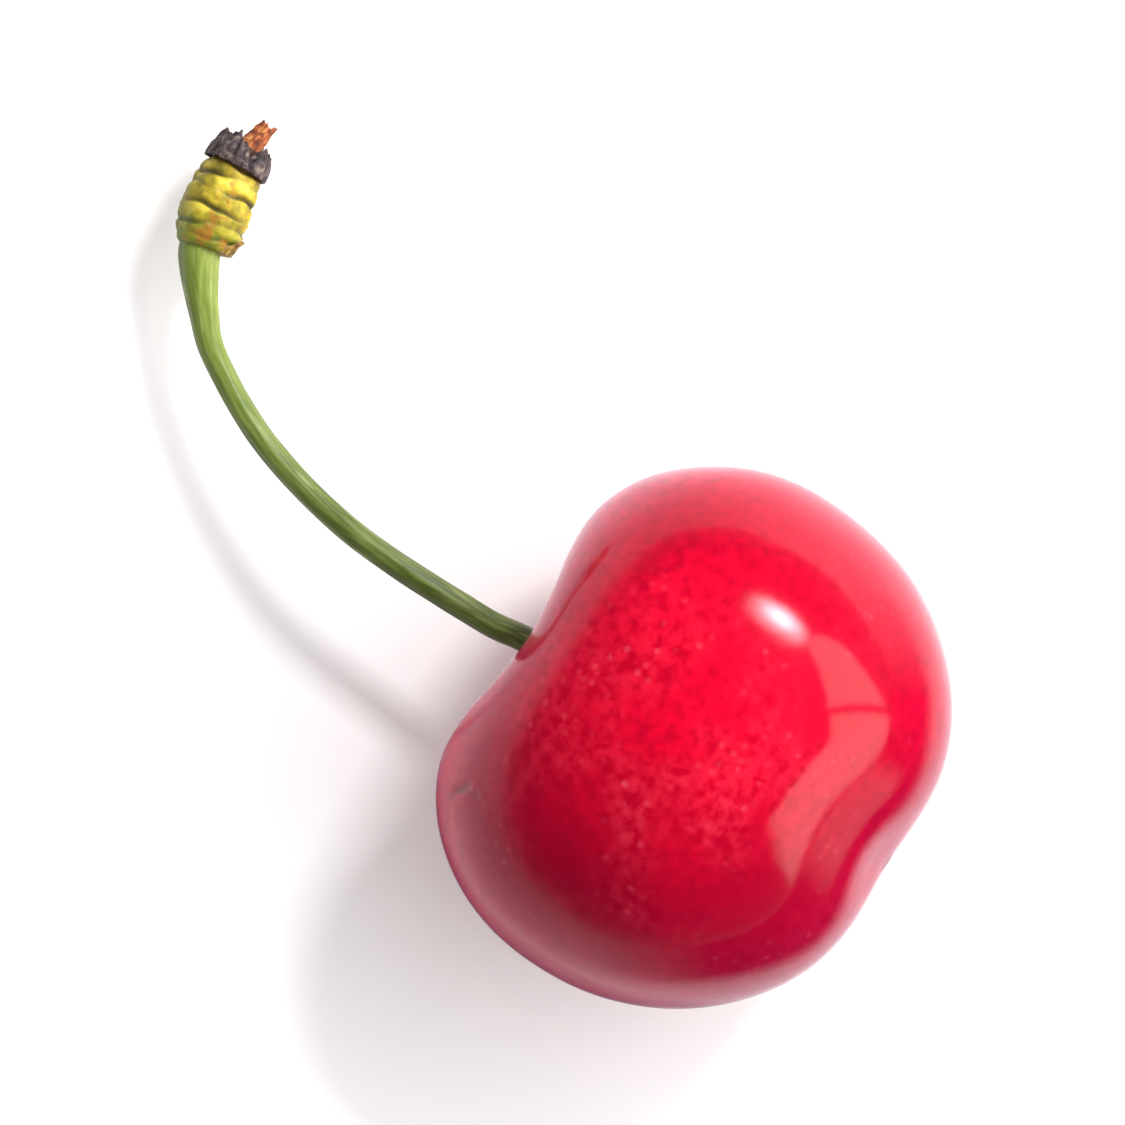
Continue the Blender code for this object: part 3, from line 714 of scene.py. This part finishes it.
def corky_bark():
    """Dull corky bark, yellow on the ledges and brown in the ring scars."""
    material, tree = new_material("corky_bark")
    grown = add(tree, "Attribute", {"attribute_name": "grown"}).outputs["Vector"]
    groove = add(tree, "Attribute", {"attribute_name": "groove"}).outputs["Fac"]
    patch = add(tree, "TexNoise", None, {"Vector": grown, "Scale": per_mm(BARK_PATCH), "Detail": 3.0})
    ledge = add(tree, "ValToRGB", {"stops": LEDGE_COLOURS}, {"Fac": patch})
    scar = add(tree, "ValToRGB", {"stops": SCAR_COLOURS}, {"Fac": patch})
    deep = add(tree, "ValToRGB", {"stops": ((0.1, "#000000"), (0.75, "#FFFFFF"))}, {"Fac": groove})
    ringed = add(tree, "Mix", MIX_COLOURS, {"Factor": deep, "A": ledge, "B": scar})
    # painted shade: olive brown on the outer side of the bend, the side away from the lamps
    place = add(tree, "SeparateXYZ", None, {0: grown}).outputs
    outer = add(tree, "MapRange", None, {
        "Value": place["Y"], "From Min": -1.7 * MM, "From Max": -0.5 * MM, "To Min": 0.7, "To Max": 0.0})
    shade_olive = add(tree, "Mix", MIX_COLOURS, {"Factor": outer, "A": ringed, "B": "#5C5214"})
    # green near the stalk, with an uneven edge
    foot = add(tree, "MapRange", None, {
        "Value": place["X"], "From Min": 0.0, "From Max": 1.9 * MM, "To Min": 0.95, "To Max": 0.0})
    uneven = add(tree, "Math", {"operation": "MULTIPLY", "use_clamp": True}, {0: foot, 1: patch})
    young = add(tree, "Math", {"operation": "MULTIPLY", "use_clamp": True}, {0: uneven, 1: 1.7})
    green = add(tree, "Mix", MIX_COLOURS, {"Factor": young, "A": shade_olive, "B": "#526E1A"})
    # rusty cork spots, most at the foot and few on the outer side, and the dark end inside the scales
    spots = add(tree, "TexNoise", None, {"Vector": grown, "Scale": per_mm(CORK_SPOT), "Detail": 2.0})
    more = add(tree, "Math", {"operation": "MULTIPLY_ADD"}, {0: foot, 1: 0.14, 2: spots})
    inner = add(tree, "Math", {"operation": "MULTIPLY_ADD"}, {0: outer, 1: -0.4, 2: more})
    brown = add(tree, "ValToRGB", {"stops": ((0.57, "#000000"), (0.70, "#D8D8D8"))}, {"Fac": inner})
    rusty = add(tree, "Mix", MIX_COLOURS, {"Factor": brown, "A": green, "B": "#A5601C"})
    neck = add(tree, "MapRange", None, {"Value": place["X"], "From Min": 3.5 * MM, "From Max": 4.9 * MM})
    colour = add(tree, "Mix", MIX_COLOURS, {"Factor": neck, "A": rusty, "B": "#4A2C16"})
    cork = add(tree, "TexNoise", None, {"Vector": grown, "Scale": per_mm(CORK_GRAIN), "Detail": 3.0})
    dull = add(tree, "MapRange", None, {"Value": cork, "To Min": 0.4, "To Max": 0.7})
    bump = add(tree, "Bump", None, {"Height": cork, "Strength": 0.6, "Distance": 0.05 * MM})
    shader = add(tree, "BsdfPrincipled", None, {
        "Base Color": colour, "Roughness": dull, "Normal": bump, "IOR": 1.4,
        "Subsurface Weight": 0.08, "Subsurface Radius": (1.0, 0.8, 0.2), "Subsurface Scale": 0.4 * MM})
    add(tree, "OutputMaterial", None, {"Surface": shader})
    return material


knob_finish = corky_bark()
print("corky bark:", len(knob_finish.node_tree.nodes), "nodes")

# %% Dry leaf and torn wood
def dry_fibres(name, size, colours, roughness):
    """Dead plant fibre: three colours by a noise of that size in mm, dull, with a crumbly surface."""
    material, tree = new_material(name)
    spot = add(tree, "TexCoord").outputs["Object"]
    fibre = add(tree, "TexNoise", None, {
        "Vector": spot, "Scale": per_mm(size), "Detail": 4.0, "Distortion": 0.6})
    colour = add(tree, "ValToRGB", {"stops": tuple(zip((0.36, 0.52, 0.68), colours))}, {"Fac": fibre})
    fine = add(tree, "TexNoise", None, {"Vector": spot, "Scale": per_mm(size / 3), "Detail": 2.0})
    dull = add(tree, "MapRange", None, {
        "Value": fine, "To Min": roughness - 0.12, "To Max": roughness + 0.12})
    bump = add(tree, "Bump", None, {"Height": fine, "Strength": 0.5, "Distance": 0.04 * MM})
    shader = add(tree, "BsdfPrincipled", None, {
        "Base Color": colour, "Roughness": dull, "Normal": bump, "IOR": 1.45})
    add(tree, "OutputMaterial", None, {"Surface": shader})
    return material


dead_leaf = dry_fibres("dead_leaf", 0.5, ("#1C1418", "#403030", "#7E7064"), 0.6)
raw_wood = dry_fibres("raw_wood", 0.35, ("#54200E", "#9C4C1C", "#C68446"), 0.6)
straw_leaf = dry_fibres("straw_leaf", 0.4, ("#644620", "#987436", "#C4A45C"), 0.65)
print("dry finishes:", ", ".join(finish.name for finish in (dead_leaf, raw_wood, straw_leaf)))

# %% [markdown]
# ## Put each finish on its piece
# Each new piece stands for one imported node, rides on the one body, "root", and gets the finish listed with
# that node and its slot's name.

# %% Dress the pieces
dressed = [
    (fruit, "fruit", "skin", skin_finish),
    (stalk, "stalk", "green_stalk", stalk_finish),
    (knob, "spur_knob", "ringed_bark", knob_finish),
    (tip, "torn_tip", "torn_wood", raw_wood),
    (bract, "bract", "dry_bract", straw_leaf),
]
dressed += [(scale, f"bud_scale_{number}", "dry_scale", dead_leaf)
            for number, scale in enumerate(scales, start=1)]
for piece, node, slot, material in dressed:
    piece.data.materials.append(material)
    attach(piece, "root")
    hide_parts(node)
    print(f"{piece.name} stands for {node}, finish {slot}")

# %% [markdown]
# ## Studio
# The cherry lies on a white table in soft light: a small key lamp and a wider one high on its right, and
# a wide, low one on its flower side. A cherry is a curved mirror: its rim shows the table, its middle the
# room above. So no lamp shows in glossy things, and the room above is dark to them, which keeps the
# middle of the skin a full red. What does shine in the skin stands round it as sheets that only the gloss
# sees: a window of two panes, a soft glow for the key lamp, and a black, a white and a grey card.

# %% Table
TABLE_HALF, PAPER_CLOUD = 900 * MM, 30      # the cloud size is in mm
corners = TABLE_HALF * np.array(((-1, -1, 0), (1, -1, 0), (1, 1, 0), (-1, 1, 0)))
table = add_piece("table", corners, [(0, 1, 2, 3)])
table_finish, tree = new_material("white_table")
paper = add(tree, "TexNoise", None, {
    "Vector": add(tree, "TexCoord").outputs["Object"], "Scale": per_mm(PAPER_CLOUD), "Detail": 2.0})
white = add(tree, "ValToRGB", {"stops": ((0.3, "#F1EFF0"), (0.7, "#F6F5F5"))}, {"Fac": paper})
board = add(tree, "BsdfPrincipled", None, {"Base Color": white, "Roughness": 0.6})
add(tree, "OutputMaterial", None, {"Surface": board})
table.data.materials.append(table_finish)

# %% Sheets that only show in the gloss
BAND_ROWS = 16


def band_finish(name, colour, glow):
    """Felt where glow is 0, or else a glowing cloth; clear where the fade value is 0."""
    material, tree = new_material(name)
    fade = add(tree, "Attribute", {"attribute_name": "fade"}).outputs["Fac"]
    eased = add(tree, "ValToRGB", {"stops": ((0.0, "#000000"), (1.0, "#FFFFFF"))}, {"Fac": fade})
    surface = (add(tree, "Emission", None, {"Color": colour, "Strength": glow}) if glow
               else add(tree, "BsdfDiffuse", None, {"Color": colour}))
    clear = add(tree, "BsdfTransparent")
    faded = add(tree, "MixShader", None, {0: eased, 1: clear, 2: surface})
    add(tree, "OutputMaterial", None, {"Surface": faded})
    return material


def add_gloss_sheet(name, grid, rows, fade, finish):
    """A sheet of rows that only glossy things see, with its finish and a fade value at each point."""
    sheet = add_piece(name, grid.reshape(-1, 3), sheet_faces(rows, fade.size // rows), {"fade": fade.ravel()})
    sheet.visible_camera = sheet.visible_diffuse = sheet.visible_shadow = False
    sheet.data.materials.append(finish)


def add_band(name, azimuths, away, low, high, ends, foot, finish):
    """A curved wall round the fruit whose fade value falls to 0 at its two ends and its foot.

    away, low and high are lengths at each azimuth; ends and foot are the shares that the fades take.
    """
    rise = np.linspace(0, 1, BAND_ROWS)[:, None]
    bends = np.radians(azimuths)[None, :]
    away = away + 0 * (bends + rise)
    heights = low + (high - low) * rise + 0 * away
    grid = np.stack([away * np.cos(bends), away * np.sin(bends), heights], axis=-1)
    share = np.linspace(0, 1, len(azimuths))[None, :]
    fade = np.clip(rise / foot, 0, 1) * np.clip(np.minimum(share, 1 - share) / ends, 0, 1)
    add_gloss_sheet(name, grid, BAND_ROWS, fade, finish)


# %% Window and cards
# black card, where other dark things would stand: near the flower end, further off beside the cheeks
card_turn = np.linspace(-18, -172, 60)
card_away = MM * (33 - 9 * np.exp(-((card_turn + 100) / 28) ** 2))
add_band("black_card", card_turn, card_away, 0.0, 19.5 * MM, 0.22, 0.35,
         band_finish("black_felt", "#1A1014", 0.0))
# the window on the flower side, two panes that lean away to the right
WINDOW_AWAY = 400 * MM
SILL = ((-97, 2), (-62, 2), (-33, 17), (-20, 32))           # azimuth and height, both in degrees
LINTEL = ((-97, 30), (-75, 25), (-58, 33), (-20, 37))
window_cloth = band_finish("window_light", "#FFF0E6", 5.0)
for name, start, end in (("window_left", -97, -61), ("window_right", -59.5, -21)):
    turn = np.linspace(start, end, 30)
    sill, lintel = (FRUIT_MIDDLE[2] + WINDOW_AWAY * np.tan(np.radians(np.interp(turn, *zip(*line))))
                    for line in (SILL, LINTEL))
    add_band(name, turn, WINDOW_AWAY, sill, lintel, 0.06, 0.08, window_cloth)
# a white card before the black one carries the window's light down to the flower end
add_band("white_card", np.linspace(-73, -99, 24), 23.5 * MM, 12 * MM, 19.5 * MM, 0.3, 0.3,
         band_finish("white_cloth", "#FFF0E6", 1.7))
# painted shade in the reflection: a grey card, seen only by the gloss, lies flat under the shaded side, where
# the outermost rim looks, and fades outwards
grey_away = MM * (26 - 12 * np.linspace(0, 1, BAND_ROWS)[:, None])
add_band("grey_card", np.linspace(88, 238, 60), grey_away, 0.2 * MM, 0.2 * MM, 0.3, 0.7,
         band_finish("grey_felt", "#8A787E", 0.0))

# %% Lamps
LAMP_AWAY = 800 * MM
centre = Vector(FRUIT_MIDDLE)


def around(azimuth, elevation):
    """A place as far off as the lamps round the middle of the fruit; azimuth 0 is +X and 90 is +Y."""
    a, e = math.radians(azimuth), math.radians(elevation)
    return centre + LAMP_AWAY * Vector((math.cos(a) * math.cos(e), math.sin(a) * math.cos(e), math.sin(e)))


def add_lamp(name, place, size, power):
    """A white rectangular area lamp that faces the fruit and doesn't show in the gloss."""
    lamp = bpy.data.lights.new(name, "AREA")
    lamp.shape = "RECTANGLE"
    lamp.size, lamp.size_y = size
    lamp.energy = power
    thing = bpy.data.objects.new(name, lamp)
    thing.location = place
    thing.rotation_mode = "QUATERNION"
    thing.rotation_quaternion = (place - centre).to_track_quat("Z", "Y")
    thing.visible_camera = thing.visible_glossy = False
    bpy.context.scene.collection.objects.link(thing)
    print(f"{name}: {power} W")


add_lamp("key", around(-7, 51), (150 * MM, 95 * MM), 3.5)
add_lamp("soft_key", around(0, 48), (660 * MM, 430 * MM), 0.7)
add_lamp("day_light", around(-50, 28), (1100 * MM, 700 * MM), 9.6)

# %% The key lamp's soft glow
GLOW_WIDE, GLOW_TALL, GLOW_ROWS = 590 * MM, 230 * MM, 25
steps = np.linspace(-1, 1, GLOW_ROWS)
across, upward = np.meshgrid(steps, steps)
glow_place = around(-2, 37)
facing = np.array((glow_place - centre).to_track_quat("Z", "Y").to_matrix())
flat = np.stack([across * GLOW_WIDE / 2, upward * GLOW_TALL / 2, 0 * across], axis=-1)
fade = np.clip(1 - np.hypot(across, upward), 0, 1) ** 2
add_gloss_sheet("key_glow", flat @ facing.T + np.array(glow_place), GLOW_ROWS, fade,
                band_finish("key_cloth", "#F0F4FF", 92.0))

# %% Room
# matt things see a plain white room, and glossy ones pale walls under a dark ceiling
WALL_STOPS = ((0.0, "#BCBCBC"), (0.12, "#6A6A6A"), (0.3, "#262626"), (1.0, "#202020"))
world = bpy.data.worlds.new("room")
bpy.context.scene.world = world
world.use_nodes = True
world.node_tree.nodes.clear()
tree = world.node_tree
ray = add(tree, "LightPath")
upwards = add(tree, "SeparateXYZ", None, {0: add(tree, "TexCoord").outputs["Generated"]}).outputs["Z"]
wall = add(tree, "ValToRGB", {"stops": WALL_STOPS}, {"Fac": upwards})
seen = add(tree, "Background", None, {"Color": "#F4F4F4", "Strength": 1.0})
soft = add(tree, "Background", None, {"Color": "#FFFFFF", "Strength": 0.72})
dark = add(tree, "Background", None, {"Color": wall, "Strength": 1.0})
matt_or_gloss = add(tree, "MixShader", None, {0: ray.outputs["Is Glossy Ray"], 1: soft, 2: dark})
all_rays = add(tree, "MixShader", None, {0: ray.outputs["Is Camera Ray"], 1: matt_or_gloss, 2: seen})
add(tree, "OutputWorld", None, {"Surface": all_rays})
bpy.context.scene.view_settings.view_transform = "Standard"

# %% [markdown]
# ## Camera
# The camera looks straight down on the cherry through a long lens, rolled so that the stalk runs to the
# upper left. The picture is as wide as the object needs, with a margin all round.

# %% Camera
ROLL = math.radians(-57.8)      # the turn of the picture's right-hand edge from +X
LENS, SENSOR = 640.0, 36.0
MARGIN = 1.26
right = np.array((math.cos(ROLL), math.sin(ROLL), 0.0))
up = np.array((-math.sin(ROLL), math.cos(ROLL), 0.0))
everything = np.vstack([np.array([v.co[:] for v in piece.data.vertices]) for piece, *_ in dressed])
spans = [((everything @ axis).min(), (everything @ axis).max()) for axis in (right, up)]
middle = sum(axis * (least / 2 + most / 2) for axis, (least, most) in zip((right, up), spans))
width = MARGIN * max(most - least for least, most in spans)
camera_data = bpy.data.cameras.new("camera")
camera_data.lens, camera_data.sensor_width = LENS, SENSOR
camera_data.clip_start, camera_data.clip_end = 0.01, 10.0
camera = bpy.data.objects.new("camera", camera_data)
bpy.context.scene.collection.objects.link(camera)
bpy.context.scene.camera = camera
camera.location = (middle[0], middle[1], width * LENS / SENSOR + FRUIT_MIDDLE[2])
camera.rotation_euler = (0.0, 0.0, ROLL)
print("camera at, mm:", np.round(np.array(camera.location) * 1000, 2))
print("picture is this wide, mm:", round(width * 1000, 2))
